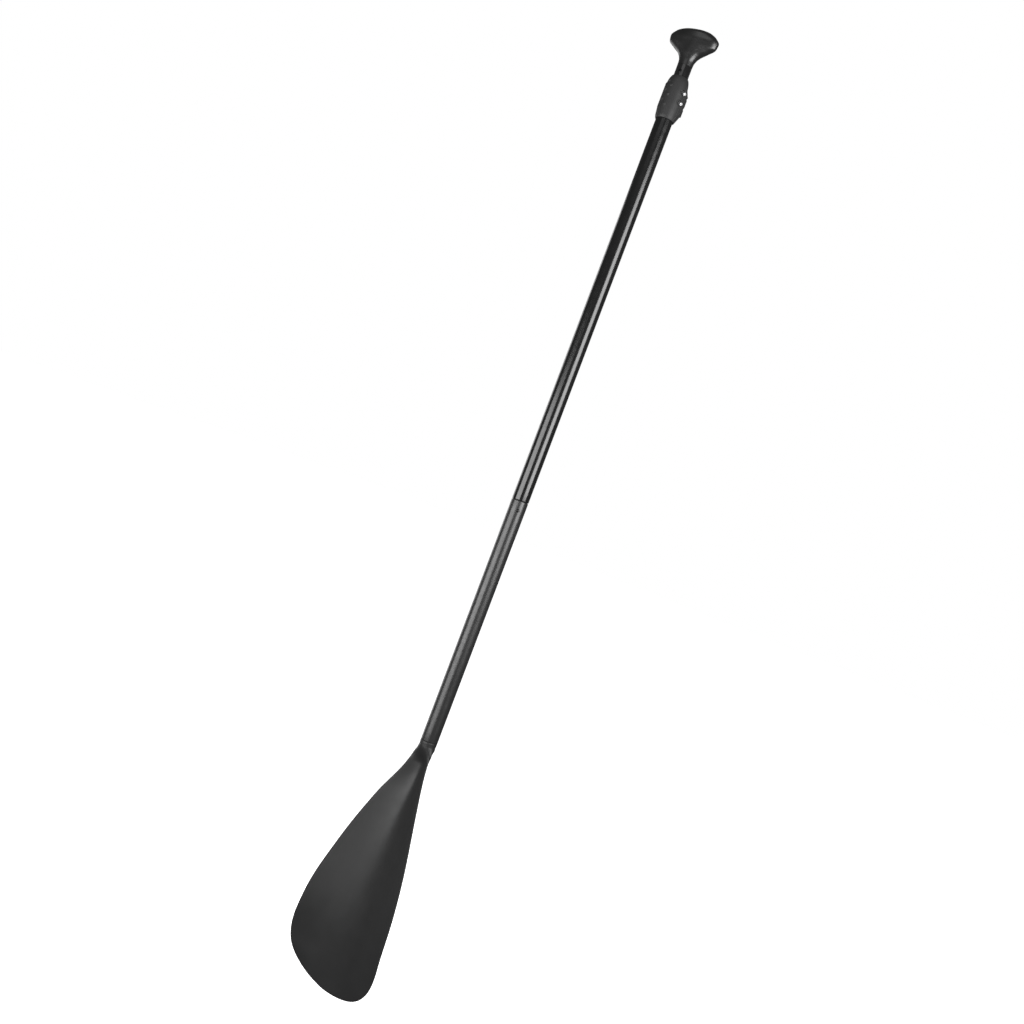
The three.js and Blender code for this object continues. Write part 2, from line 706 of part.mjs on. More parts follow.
/** The cam lever: a head with a flat, turning on the barrel, and an arm round the collar. */
function clampLever() {
  const arm = ringSector(LEVER_INNER_R, LEVER_OUTER_R, LEVER_ROOT, LEVER_TIP, LEVER_BOTTOM, LEVER_TOP);
  const knuckle = ringSector(LEVER_INNER_R, 21.4, LEVER_ROOT, LEVER_ROOT + 18, CAM_BOTTOM, CAM_TOP, 6);
  const head = aboutPivot(CAM_R, CAM_BOTTOM, CAM_TOP);
  const flat = block([BOLT_REACH + CAM_FLAT, 0, CAM_BOTTOM - 1], [40, 40, CAM_TOP + 1]);
  const bearing = aboutPivot(BARREL_R + 0.1, CAM_BOTTOM - 1, CAM_TOP + 1);
  const pivot = [BOLT_REACH, BARREL_BEHIND];
  const spread = 48; // degrees that a bolt's slot reaches past the bolt, both ways
  const slots = Object.values(BOLT_HEIGHTS).map((height) => {
    const half = BOLT_R + 0.4;
    const swept = arc(CAM_R + 4, -90 - spread, -90 + LEVER_SWING + spread, 16, pivot);
    return slab([pivot, ...swept], height - half, height + half);
  });
  return onClamp(cut(join(arm, knuckle, head), flat, bearing, ...slots));
}

// ---------------------------------------------------------------- assembly

const FINISHES = {
  moulding: { color: 0x232323, roughness: 0.55, metalness: 0 },
  collar: { color: 0x2b2b2b, roughness: 0.6, metalness: 0 },
  gripPlastic: { color: 0x121212, roughness: 0.2, metalness: 0 },
  blackTube: { color: 0x161616, roughness: 0.35, metalness: 0.6 },
  satinTube: { color: 0x1c1c1c, roughness: 0.45, metalness: 0.5 },
  bareTube: { color: 0x8d9095, roughness: 0.4, metalness: 1 },
  steel: { color: 0xc6c8ca, roughness: 0.28, metalness: 1 },
  blackSteel: { color: 0x1a1a1a, roughness: 0.4, metalness: 0.8 },
  springSteel: { color: 0x9a9c9e, roughness: 0.35, metalness: 1 },
  foam: { color: 0xd8d4c8, roughness: 0.95, metalness: 0 },
};

const PIECES = {
  blade: [blade, 'moulding'],
  blade_rivet: [() => rivet(BLADE_RIVET_ANGLE, BLADE_RIVET_Z), 'blackSteel'],
  lower_shaft: [lowerShaft, 'satinTube'],
  float_plug: [floatPlug, 'foam'],
  section_ferrule: [ferrule, 'bareTube'],
  ferrule_rivet: [() => rivet(FERRULE_RIVET_ANGLE, FERRULE_RIVET_Z), 'blackSteel'],
  snap_button: [snapButton, 'blackSteel'],
  snap_spring: [snapSpring, 'springSteel'],
  upper_shaft: [upperShaft, 'blackTube'],
  clamp_collar: [clampCollar, 'collar'],
  clamp_bolt_upper: [() => clampBolt(BOLT_HEIGHTS.upper), 'steel'],
  clamp_bolt_lower: [() => clampBolt(BOLT_HEIGHTS.lower), 'steel'],
  clamp_washer_upper: [() => clampWasher(BOLT_HEIGHTS.upper), 'steel'],
  clamp_washer_lower: [() => clampWasher(BOLT_HEIGHTS.lower), 'steel'],
  cam_plate: [camPlate, 'steel'],
  cam_barrel: [camBarrel, 'steel'],
  clamp_lever: [clampLever, 'collar'],
  extension_tube: [extensionTube, 'blackTube'],
  guide_bush: [guideBush, 'moulding'],
  extension_end_plug: [endPlug, 'moulding'],
  grip: [grip, 'gripPlastic'],
  grip_screw: [gripScrew, 'blackSteel'],
};

const paddle = new THREE.Group();
for (const [name, [shape, finish]] of Object.entries(PIECES)) {
  const mesh = new THREE.Mesh(shape(), new THREE.MeshStandardMaterial(FINISHES[finish]));
  mesh.name = name;
  paddle.add(mesh);
}

export default paddle;
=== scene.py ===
"""Adjustable single-blade paddle, dressed for a studio picture.

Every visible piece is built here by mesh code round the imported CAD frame, in metres, +Z up
along the shaft, with the blade's cupped face towards -Y.
"""
import math

import bmesh
import bpy
from mathutils import Matrix, Vector

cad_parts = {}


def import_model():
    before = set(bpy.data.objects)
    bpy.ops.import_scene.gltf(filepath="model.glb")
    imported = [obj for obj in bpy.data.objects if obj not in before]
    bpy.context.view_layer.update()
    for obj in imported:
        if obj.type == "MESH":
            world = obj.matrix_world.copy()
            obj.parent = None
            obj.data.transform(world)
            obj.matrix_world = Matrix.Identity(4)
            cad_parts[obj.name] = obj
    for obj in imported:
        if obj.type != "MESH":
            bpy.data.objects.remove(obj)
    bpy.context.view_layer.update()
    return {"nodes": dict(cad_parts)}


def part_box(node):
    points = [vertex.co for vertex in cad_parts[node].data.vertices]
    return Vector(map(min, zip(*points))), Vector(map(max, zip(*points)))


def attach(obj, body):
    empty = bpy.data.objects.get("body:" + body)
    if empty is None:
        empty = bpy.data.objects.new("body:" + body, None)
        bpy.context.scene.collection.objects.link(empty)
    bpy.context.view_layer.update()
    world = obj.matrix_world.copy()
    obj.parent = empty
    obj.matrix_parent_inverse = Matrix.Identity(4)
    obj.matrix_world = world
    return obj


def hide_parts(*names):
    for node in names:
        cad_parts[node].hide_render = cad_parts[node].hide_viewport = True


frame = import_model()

MM = 0.001
NODES = frame["nodes"]

# ------------------------------------------------------------------ measures from the frame


def radius_of(node):
    low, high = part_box(node)
    return (high.x - low.x) / 2


SHAFT_R = radius_of("upper_shaft")
LOWER_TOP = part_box("lower_shaft")[1].z
UPPER_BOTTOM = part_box("upper_shaft")[0].z
UPPER_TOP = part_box("upper_shaft")[1].z
EXTENSION_R = radius_of("extension_tube")
EXTENSION_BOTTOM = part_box("extension_tube")[0].z
EXTENSION_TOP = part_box("extension_tube")[1].z
GRIP_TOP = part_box("grip")[1].z
COLLAR_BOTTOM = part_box("clamp_collar")[0].z
COLLAR_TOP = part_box("clamp_collar")[1].z
LEVER_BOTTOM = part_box("clamp_lever")[0].z
LEVER_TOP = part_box("clamp_lever")[1].z
BLADE_TIP = -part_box("blade")[0].z
BLADE_HALF_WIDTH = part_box("blade")[1].x
TUBE_WALL = 1.2 * MM
GAP = 0.3 * MM


def middle_z(node):
    low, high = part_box(node)
    return (low.z + high.z) / 2


BOLTS = {
    "clamp_bolt_lower": middle_z("clamp_bolt_lower"),
    "clamp_bolt_upper": middle_z("clamp_bolt_upper"),
}
BUTTON_Z = middle_z("snap_button")
BLADE_RIVET_Z = middle_z("blade_rivet")
FERRULE_RIVET_Z = middle_z("ferrule_rivet")
GRIP_SCREW_Z = middle_z("grip_screw")

# Directions round the shaft, in degrees from +X
EAR_ANGLE = 26
BUTTON_ANGLE = -42
FERRULE_RIVET_ANGLE = BUTTON_ANGLE + 180
BLADE_RIVET_ANGLE = 90
GRIP_TURN = 16
GRIP_FRONT = GRIP_TURN - 90
LEVER_TIP_ANGLE = 243

# The clamp, in the directions of its ears (+X) and of its bolt heads (-Y)
EAR_REACH = 21.6 * MM
EAR_HALF = 7.2 * MM
BOLT_REACH = 17.5 * MM
BOLT_R = 1.7 * MM
BOLT_HEAD_R = 3.1 * MM
HEAD_TOP = 6.3 * MM
HEAD_SEAT = 3.9 * MM
WASHER_SEAT = 3.3 * MM
BARREL_R = 2.8 * MM
BARREL_BEHIND = 12.6 * MM
SLIT_HALF = 0.8 * MM
BOLT_CLEARANCE = 0.25 * MM
LEVER_ROOM = 0.6 * MM  # clearance over and under the lever
LEVER_SEAT_R = 16.2 * MM
LEVER_SEAT_START = 22  # degrees from the ears to where the lever's seat starts

# ------------------------------------------------------------------ camera

AZIMUTH = math.radians(39)
DISTANCE = 2.0
AIM = Vector((0, 0, 0.3996))  # the height on the shaft that the lens is level with
AIM_ASIDE = -0.00609  # how far right of the shaft the lens stands; negative is left
ROLL = math.radians(20.755)
LENS = 42.784


def make_camera():
    data = bpy.data.cameras.new("camera")
    data.lens = LENS
    data.sensor_width = 36
    camera = bpy.data.objects.new("camera", data)
    bpy.context.scene.collection.objects.link(camera)
    right = Vector((math.cos(AZIMUTH), math.sin(AZIMUTH), 0))
    back = Vector((math.sin(AZIMUTH), -math.cos(AZIMUTH), 0))
    up = Vector((0, 0, 1))
    across = right * math.cos(ROLL) + up * math.sin(ROLL)
    upward = up * math.cos(ROLL) - right * math.sin(ROLL)
    turn = Matrix((across, upward, back)).transposed()
    place = AIM + right * AIM_ASIDE + back * DISTANCE
    camera.matrix_world = Matrix.Translation(place) @ turn.to_4x4()
    bpy.context.scene.camera = camera
    return camera


make_camera()

# ------------------------------------------------------------------ mesh helpers


def mesh_object(name, build):
    """A shade-smooth object whose mesh the given function fills in."""
    bm = bmesh.new()
    build(bm)
    bmesh.ops.recalc_face_normals(bm, faces=bm.faces)
    mesh = bpy.data.meshes.new(name)
    bm.to_mesh(mesh)
    bm.free()
    obj = bpy.data.objects.new(name, mesh)
    bpy.context.scene.collection.objects.link(obj)
    for face in mesh.polygons:
        face.use_smooth = True
    return obj


def skin(bm, loops, closed_ends=True):
    """Joins equal closed loops of points into one skin, with a fan on each end."""
    rows = [[bm.verts.new(p) for p in loop] for loop in loops]
    count = len(rows[0])
    for lower, upper in zip(rows, rows[1:]):
        for i in range(count):
            j = (i + 1) % count
            bm.faces.new((lower[i], lower[j], upper[j], upper[i]))
    if closed_ends:
        for row in (rows[0], rows[-1]):
            middle = bm.verts.new(sum((v.co for v in row), Vector()) / count)
            for i in range(count):
                bm.faces.new((row[i], row[(i + 1) % count], middle))


def ring(radius, z, count):
    return [
        Vector((radius * math.cos(a), radius * math.sin(a), z))
        for a in (2 * math.pi * i / count for i in range(count))
    ]


def turned(name, profile, count=128, closed_ends=False):
    """A closed (radius, z) profile turned round the Z axis."""

    def build(bm):
        loops = [ring(r, z, count) for r, z in profile]
        if not closed_ends:
            loops.append(loops[0])
        skin(bm, loops, closed_ends)
        bmesh.ops.remove_doubles(bm, verts=bm.verts, dist=1e-6)

    return mesh_object(name, build)


def fillet(centre, radius, start, end, steps=6):
    """Points of an arc in a profile or an outline, between two angles in degrees."""
    points = []
    for i in range(steps + 1):
        a = math.radians(start + (end - start) * i / steps)
        points.append((centre[0] + radius * math.cos(a), centre[1] + radius * math.sin(a)))
    return points


def dressed_tube(name, outer, inner, bottom, top, round_bottom, round_top):
    """A tube with rolled ends and enough rings along it to stay straight and smooth."""
    lip = 0.3 * MM
    rings = 24
    profile = fillet((outer - round_bottom, bottom + round_bottom), round_bottom, -90, 0)
    length = top - bottom
    profile += [(outer, bottom + length * i / rings) for i in range(1, rings)]
    profile += fillet((outer - round_top, top - round_top), round_top, 0, 90)
    profile += fillet((inner + lip, top - lip), lip, 90, 180, 3)
    profile += fillet((inner + lip, bottom + lip), lip, 180, 270, 3)
    return turned(name, profile)


def apply_modifiers(obj):
    graph = bpy.context.evaluated_depsgraph_get()
    graph.update()
    mesh = bpy.data.meshes.new_from_object(obj.evaluated_get(graph))
    obj.modifiers.clear()
    old = obj.data
    obj.data = mesh
    mesh.name = obj.name
    bpy.data.meshes.remove(old)


def combine(obj, operation, *tools):
    """Joins or cuts obj with each tool in turn, and removes the tools."""
    for tool in tools:
        step = obj.modifiers.new("boolean", "BOOLEAN")
        step.operation = operation
        step.solver = "EXACT"
        step.object = tool
        apply_modifiers(obj)
        bpy.data.objects.remove(tool)
    return obj


def smooth_faces(obj, crease=None):
    """Smooth shading, kept crisp where faces meet at more than the crease, in degrees."""
    for face in obj.data.polygons:
        face.use_smooth = True
    if crease:
        obj.data.set_sharp_from_angle(angle=math.radians(crease))
    return obj


def moulded(obj, voxel, smoothing):
    """Melts hard edges into the small radii of a moulding."""
    remesh = obj.modifiers.new("remesh", "REMESH")
    remesh.mode = "VOXEL"
    remesh.voxel_size = voxel
    soften = obj.modifiers.new("soften", "SMOOTH")
    soften.factor = 0.5
    soften.iterations = smoothing
    apply_modifiers(obj)
    return smooth_faces(obj)


def copy_of(node, name):
    """A new piece that starts from a CAD node's mesh."""
    obj = bpy.data.objects.new(name, NODES[node].data.copy())
    bpy.context.scene.collection.objects.link(obj)
    return obj


def turn_about_shaft(obj, degrees):
    obj.data.transform(Matrix.Rotation(math.radians(degrees), 4, "Z"))
    return obj


def on_clamp(obj):
    return turn_about_shaft(obj, EAR_ANGLE)


def point_outward(obj, degrees, height):
    """Turns a piece built on the Z axis so that it points out from the shaft."""
    obj.data.transform(
        Matrix.Translation((0, 0, height))
        @ Matrix.Rotation(math.radians(degrees), 4, "Z")
        @ Matrix.Rotation(math.pi / 2, 4, "Y")
    )
    return obj


def across_slit(obj, height):
    """Turns a piece built on the Z axis so that it runs along a bolt, towards its head."""
    obj.data.transform(
        Matrix.Translation((BOLT_REACH, 0, height)) @ Matrix.Rotation(math.pi / 2, 4, "X")
    )
    return obj


def solid_of(name, profile, count=64):
    """A turned solid: the (radius, z) profile is closed by a fan at both ends."""
    return turned(name, profile, count, closed_ends=True)


DRILL_START = 5 * MM  # inside every tube's bore
DRILL_END = 20 * MM  # outside every tube's wall


def drill(radius, degrees, height, start=DRILL_START, end=DRILL_END):
    """A round cutting tool that points out from the shaft."""
    return point_outward(solid_of("drill", [(radius, start), (radius, end)]), degrees, height)


def prism(name, outline, bottom, top):
    """A flat outline of (x, y) points raised between two heights."""

    def build(bm):
        low = [bm.verts.new((x, y, bottom)) for x, y in outline]
        high = [bm.verts.new((x, y, top)) for x, y in outline]
        bm.faces.new(low)
        bm.faces.new(high)
        for i in range(len(outline)):
            j = (i + 1) % len(outline)
            bm.faces.new((low[i], low[j], high[j], high[i]))

    return mesh_object(name, build)


def box_between(low, high):
    outline = [(low[0], low[1]), (high[0], low[1]), (high[0], high[1]), (low[0], high[1])]
    return prism("box", outline, low[2], high[2])


def sector(inner, outer, start, end, bottom, top):
    """A piece of a ring round the shaft, between two angles in degrees."""
    steps = 64
    outline = fillet((0, 0), inner, start, end, steps) + fillet((0, 0), outer, end, start, steps)
    return prism("sector", outline, bottom, top)


def hermite(points, x):
    """A smooth curve through (x, y) points, read at x."""
    xs = [p[0] for p in points]
    ys = [p[1] for p in points]
    i = max(0, min(len(xs) - 2, next((k - 1 for k, v in enumerate(xs) if v > x), len(xs) - 2)))
    slopes = [(ys[k + 1] - ys[k]) / (xs[k + 1] - xs[k]) for k in range(len(xs) - 1)]

    def tangent(k):
        if k in (0, len(xs) - 1):
            return slopes[min(k, len(slopes) - 1)]
        before, after = slopes[k - 1], slopes[k]
        return 0 if before * after <= 0 else 2 * before * after / (before + after)

    span = xs[i + 1] - xs[i]
    t = (x - xs[i]) / span
    return (
        (2 * t**3 - 3 * t**2 + 1) * ys[i]
        + (t**3 - 2 * t**2 + t) * span * tangent(i)
        + (3 * t**2 - 2 * t**3) * ys[i + 1]
        + (t**3 - t**2) * span * tangent(i + 1)
    )


def smooth(x, start, end):
    t = max(0.0, min(1.0, (x - start) / (end - start)))
    return t * t * (3 - 2 * t)


def mix(a, b, share):
    return a + (b - a) * share


# ------------------------------------------------------------------ materials


class Nodes:
    """Shorthand for building a material's node tree."""

    def __init__(self, name):
        self.material = bpy.data.materials.new(name)
        self.material.use_nodes = True
        self.tree = self.material.node_tree
        self.shader = self.tree.nodes["Principled BSDF"]
        self.where = self.tree.nodes.new("ShaderNodeTexCoord").outputs["Object"]

    def link(self, source, target):
        self.tree.links.new(source, target)

    def stretched(self, scale):
        node = self.tree.nodes.new("ShaderNodeMapping")
        node.inputs["Scale"].default_value = scale
        self.link(self.where, node.inputs["Vector"])
        return node.outputs["Vector"]

    def noise(self, scale, detail=3, roughness=0.5, vector=None):
        node = self.tree.nodes.new("ShaderNodeTexNoise")
        node.inputs["Scale"].default_value = scale
        node.inputs["Detail"].default_value = detail
        node.inputs["Roughness"].default_value = roughness
        self.link(vector or self.where, node.inputs["Vector"])
        return node.outputs["Fac"]

    def cells(self, scale, vector=None):
        node = self.tree.nodes.new("ShaderNodeTexVoronoi")
        node.feature = "DISTANCE_TO_EDGE"
        node.inputs["Scale"].default_value = scale
        self.link(vector or self.where, node.inputs["Vector"])
        return node.outputs["Distance"]

    def ranged(self, value, low, high, to_low, to_high):
        node = self.tree.nodes.new("ShaderNodeMapRange")
        for socket, number in zip(
            ("From Min", "From Max", "To Min", "To Max"), (low, high, to_low, to_high)
        ):
            node.inputs[socket].default_value = number
        self.link(value, node.inputs["Value"])
        return node.outputs["Result"]

    def times(self, a, b):
        node = self.tree.nodes.new("ShaderNodeMath")
        node.operation = "MULTIPLY"
        self.link(a, node.inputs[0])
        self.link(b, node.inputs[1])
        return node.outputs["Value"]

    def colours(self, value, dark, light):
        node = self.tree.nodes.new("ShaderNodeMix")
        node.data_type = "RGBA"
        self.link(value, node.inputs["Factor"])
        node.inputs["A"].default_value = (*dark, 1)
        node.inputs["B"].default_value = (*light, 1)
        self.link(node.outputs["Result"], self.shader.inputs["Base Color"])

    def bump(self, height, distance, strength, under=None):
        node = self.tree.nodes.new("ShaderNodeBump")
        node.inputs["Distance"].default_value = distance
        node.inputs["Strength"].default_value = strength
        self.link(height, node.inputs["Height"])
        if under:
            self.link(under, node.inputs["Normal"])
        return node.outputs["Normal"]


def grey(level):
    return (level, level, level * 1.01)


def moulding_material(name, dark, light, rough, grain, grain_depth, shine=0.5):
    """Moulded nylon: fine eroded grain, faint flow marks and a few rubbed spots."""
    n = Nodes(name)
    flow = n.noise(9, 4, 0.6, n.stretched((1, 1, 0.3)))
    n.colours(n.ranged(flow, 0.3, 0.7, 0, 1), grey(dark), grey(light))
    n.shader.inputs["Specular IOR Level"].default_value = shine
    rubbed = n.noise(38, 5, 0.65)
    n.link(n.ranged(rubbed, 0.35, 0.75, rough[0], rough[1]), n.shader.inputs["Roughness"])
    coarse = n.bump(n.noise(24, 2, 0.4), 0.4 * MM, 0.12)
    n.link(n.bump(n.noise(grain, 2, 0.6), grain_depth, 0.5, coarse), n.shader.inputs["Normal"])
    return n.material


def tube_material(name, dark, light, rough, metallic):
    """Black anodising over drawn tube: faint draw lines, smudges and hairline scuffs."""
    n = Nodes(name)
    smudge = n.noise(14, 4, 0.6, n.stretched((1, 1, 0.25)))
    n.colours(n.ranged(smudge, 0.3, 0.7, 0, 1), grey(dark), grey(light))
    n.shader.inputs["Metallic"].default_value = metallic
    drawn = n.noise(420, 2, 0.5, n.stretched((1, 1, 0.012)))
    grain = n.noise(90, 3, 0.6)
    wear = n.ranged(n.times(drawn, grain), 0.1, 0.45, rough[0], rough[1])
    n.link(wear, n.shader.inputs["Roughness"])
    lines = n.bump(drawn, 0.02 * MM, 0.12)
    n.link(n.bump(n.noise(2600, 2, 0.5), 0.012 * MM, 0.2, lines), n.shader.inputs["Normal"])
    return n.material


def gloss_material(name, rough):
    """Polished black moulding with a little orange peel, smears and fine scratches."""
    n = Nodes(name)
    n.colours(n.ranged(n.noise(30, 3), 0.3, 0.7, 0, 1), grey(0.006), grey(0.010))
    smear = n.noise(55, 5, 0.6)
    n.link(n.ranged(smear, 0.3, 0.75, rough[0], rough[1]), n.shader.inputs["Roughness"])
    peel = n.bump(n.noise(260, 2, 0.4), 0.05 * MM, 0.18)
    n.link(n.bump(n.cells(900), 0.006 * MM, 0.2, peel), n.shader.inputs["Normal"])
    return n.material


def steel_material(name, level, rough, stretch=(1, 1, 1)):
    """Bare or plated metal with fine turning marks and a patchy sheen."""
    n = Nodes(name)
    n.colours(n.ranged(n.noise(240, 4, 0.6), 0.3, 0.7, 0, 1), grey(level * 0.82), grey(level))
    n.shader.inputs["Metallic"].default_value = 1
    fine = n.noise(1800, 3, 0.6, n.stretched(stretch))
    n.link(n.ranged(fine, 0.3, 0.7, rough[0], rough[1]), n.shader.inputs["Roughness"])
    n.link(n.bump(fine, 0.02 * MM, 0.2), n.shader.inputs["Normal"])
    return n.material


def foam_material(name):
    """Closed-cell foam."""
    n = Nodes(name)
    cells = n.cells(420)
    n.colours(n.ranged(cells, 0, 0.3, 0, 1), (0.5, 0.48, 0.42), (0.72, 0.70, 0.64))
    n.link(n.ranged(n.noise(200), 0.3, 0.7, 0.85, 0.97), n.shader.inputs["Roughness"])
    n.link(n.bump(cells, 0.4 * MM, 0.5), n.shader.inputs["Normal"])
    return n.material


BLADE_NYLON = moulding_material("blade_nylon", 0.013, 0.017, (0.40, 0.50), 1500, 0.03 * MM, 0.26)
COLLAR_NYLON = moulding_material("collar_nylon", 0.014, 0.020, (0.5, 0.64), 1900, 0.05 * MM, 0.3)
DARK_NYLON = moulding_material("dark_nylon", 0.010, 0.014, (0.5, 0.65), 1700, 0.05 * MM)
UPPER_ANODISED = tube_material("upper_anodised", 0.004, 0.006, (0.16, 0.26), 0.0)
LOWER_ANODISED = tube_material("lower_anodised", 0.012, 0.016, (0.28, 0.40), 0.0)
GRIP_GLOSS = gloss_material("grip_gloss", (0.26, 0.38))
EXTENSION_GLOSS = gloss_material("extension_gloss", (0.12, 0.24))
BRIGHT_STEEL = steel_material("bright_steel", 0.86, (0.3, 0.44))
PIN_STEEL = steel_material("pin_steel", 0.62, (0.24, 0.40), (1, 1, 0.1))
BLACK_STEEL = steel_material("black_steel", 0.035, (0.26, 0.42))
DARK_ALUMINIUM = steel_material("dark_aluminium", 0.03, (0.5, 0.7), (1, 1, 0.03))
FOAM = foam_material("foam")


def finish_piece(obj, material, body, node):
    """Gives a built piece its material and body, and hides the CAD node that it stands in for."""
    obj.data.materials.clear()
    obj.data.materials.append(material)
    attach(obj, body)
    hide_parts(node)


# ------------------------------------------------------------------ blade

NECK_R = 13.9 * MM
NECK_END = 8 * MM
WIDEST = 350 * MM
SHELL = 4.4 * MM
THROAT_END = 60 * MM
FRONT_OPEN = 42 * MM  # the depth by which the neck's front is scooped out
BACK_FLANGED = 22 * MM  # and by which the flanges have left the neck
TIP_FULLNESS = 2.8  # 2 would make the tip's outline an ellipse
RIVET_HOLE_R = 1.9 * MM

# The spigot in the tube and the rounded edge at the seam: radius and height, in millimetres
BLADE_NECK = [
    (9, 8),
    (9, 70),
    (11.8, 70),
    (12.8, 68),
    (12.8, -0.3),
    (13.3, -0.3),
    (14, -1),
    (14.3, -2),
    (14.3, -4),
]

# Depth below the seam and size there, in millimetres: the half width, how far forward the
# rim and the middle of the cup stand, and how wide the bottom of the cup is rounded
FLARE = [
    (8, 13.9),
    (20, 17.6),
    (34, 20.2),
    (52, 24.8),
    (112, 48),
    (212, 80),
    (292, 97.4),
    (350, 103),
]
RIM = [(8, 1), (20, 4), (52, 9.8), (112, 23), (212, 35.3), (330, 46.6), (392, 42.3), (433, 31)]
FLOOR = [(8, -3), (50, -4), (112, 4), (212, 16), (330, 27), (433, 31)]
VALLEY = [(8, 11), (52, 11), (112, 15), (212, 30), (330, 60), (433, 90)]


def half_width(depth):
    if depth <= WIDEST:
        return hermite(FLARE, depth / MM) * MM
    t = min(1.0, (depth - WIDEST) / (BLADE_TIP - WIDEST))
    return BLADE_HALF_WIDTH * math.sqrt(max(0.0, 1 - t**TIP_FULLNESS))


def spine(depth, across, floor):
    """The back of the neck, which runs out down the middle of the blade's back."""
    fade_start, fade_end = -10 * MM, 150 * MM
    side_slope = 3
    faded = smooth(depth, fade_start, fade_end)
    radius = NECK_R * (1 - faded)
    rounded = math.sqrt(max(0, radius**2 - across**2))
    return floor * faded + rounded - side_slope * max(0, abs(across) - radius)


def smooth_max(a, b, rounding):
    """The greater of two values, with the corner between them rounded."""
    return (a + b + math.hypot(a - b, rounding)) / 2


def blade_section(depth, count):
    """A closed section: a round neck that opens into a cup with a rounded valley."""
    half = half_width(depth)
    rim = -hermite(RIM, depth / MM) * MM
    floor = -hermite(FLOOR, depth / MM) * MM
    valley = hermite(VALLEY, depth / MM) * MM / half
    opened = smooth(depth, NECK_END, FRONT_OPEN)
    flanged = smooth(depth, NECK_END, BACK_FLANGED)
    points = []
    for i in range(count):
        a = 2 * math.pi * i / count
        across, side = math.cos(a), math.sin(a)
        dish = (math.hypot(valley, across) - valley) / (math.hypot(valley, 1) - valley)
        middle = mix(floor, rim, dish)
        shell = middle + math.copysign(SHELL / 2 * math.sqrt(abs(side)), side)
        if side < 0:
            y = mix(NECK_R * side, shell, opened)
        else:
            back = smooth_max(shell, spine(depth, half * across, floor), abs(side) * MM)
            y = mix(NECK_R * side, back, flanged)
        points.append(Vector((half * across, y, -depth)))
    return points


def build_blade():
    count = 256
    throat_rows, flare_rows, tip_rows = 48, 72, 48
    tip_end = 0.985  # the last row stops short of the point, as the tip's edge
    loops = [ring(r * MM, z * MM, count) for r, z in BLADE_NECK]
    for i in range(throat_rows + 1):
        loops.append(blade_section(mix(NECK_END, THROAT_END, i / throat_rows), count))
    for i in range(1, flare_rows + 1):
        loops.append(blade_section(mix(THROAT_END, WIDEST, i / flare_rows), count))
    for i in range(1, tip_rows + 1):
        share = math.sin(tip_end * i / tip_rows * math.pi / 2)
        loops.append(blade_section(mix(WIDEST, BLADE_TIP, share), count))
    obj = mesh_object("blade_skin", lambda bm: skin(bm, loops))
    combine(obj, "DIFFERENCE", drill(RIVET_HOLE_R, BLADE_RIVET_ANGLE, BLADE_RIVET_Z, 0))
    smooth_faces(obj, 50)
    finish_piece(obj, BLADE_NYLON, "shaft", "blade")


# ------------------------------------------------------------------ shaft tubes and their fixings

BUTTON_R = 2.5 * MM
RIVET_R = 1.6 * MM
RIVET_HEAD_R = 3.4 * MM


def build_lower_shaft():
    inner = SHAFT_R - TUBE_WALL
    obj = dressed_tube("lower_shaft_skin", SHAFT_R, inner, 0, LOWER_TOP, 0.6 * MM, 1.1 * MM)
    button_hole = drill(BUTTON_R + GAP, BUTTON_ANGLE, BUTTON_Z)
    rivet_hole = drill(RIVET_HOLE_R, BLADE_RIVET_ANGLE, BLADE_RIVET_Z)
    combine(obj, "DIFFERENCE", button_hole, rivet_hole)
    smooth_faces(obj, 40)
    finish_piece(obj, LOWER_ANODISED, "shaft", "lower_shaft")


def build_upper_shaft():
    inner = SHAFT_R - TUBE_WALL
    obj = dressed_tube(
        "upper_shaft_skin", SHAFT_R, inner, UPPER_BOTTOM, UPPER_TOP, 1.1 * MM, 0.5 * MM
    )
    rivet_hole = drill(RIVET_HOLE_R, FERRULE_RIVET_ANGLE, FERRULE_RIVET_Z)
    combine(obj, "DIFFERENCE", rivet_hole)
    smooth_faces(obj, 40)
    finish_piece(obj, UPPER_ANODISED, "shaft", "upper_shaft")


def build_extension_tube():
    inner = EXTENSION_R - TUBE_WALL
    ends = (EXTENSION_BOTTOM, EXTENSION_TOP)
    obj = dressed_tube("extension_tube_skin", EXTENSION_R, inner, *ends, 0.4 * MM, 0.2 * MM)
    combine(obj, "DIFFERENCE", drill(2.9 * MM, GRIP_FRONT, GRIP_SCREW_Z))
    smooth_faces(obj, 40)
    finish_piece(obj, EXTENSION_GLOSS, "extension", "extension_tube")


def build_snap_button():
    crown = SHAFT_R + 1.2 * MM
    flange_r = BUTTON_R + 0.8 * MM
    flange_top = 10.1 * MM
    flange_thickness = 1 * MM
    rounding = 0.9 * MM
    profile = [
        (flange_r, flange_top - flange_thickness),
        (flange_r, flange_top),
        (BUTTON_R, flange_top),
    ]
    profile += fillet((BUTTON_R - rounding, crown - rounding), rounding, 0, 90)
    obj = point_outward(solid_of("snap_button_skin", profile), BUTTON_ANGLE, BUTTON_Z)
    smooth_faces(obj, 40)
    finish_piece(obj, BLACK_STEEL, "button", "snap_button")


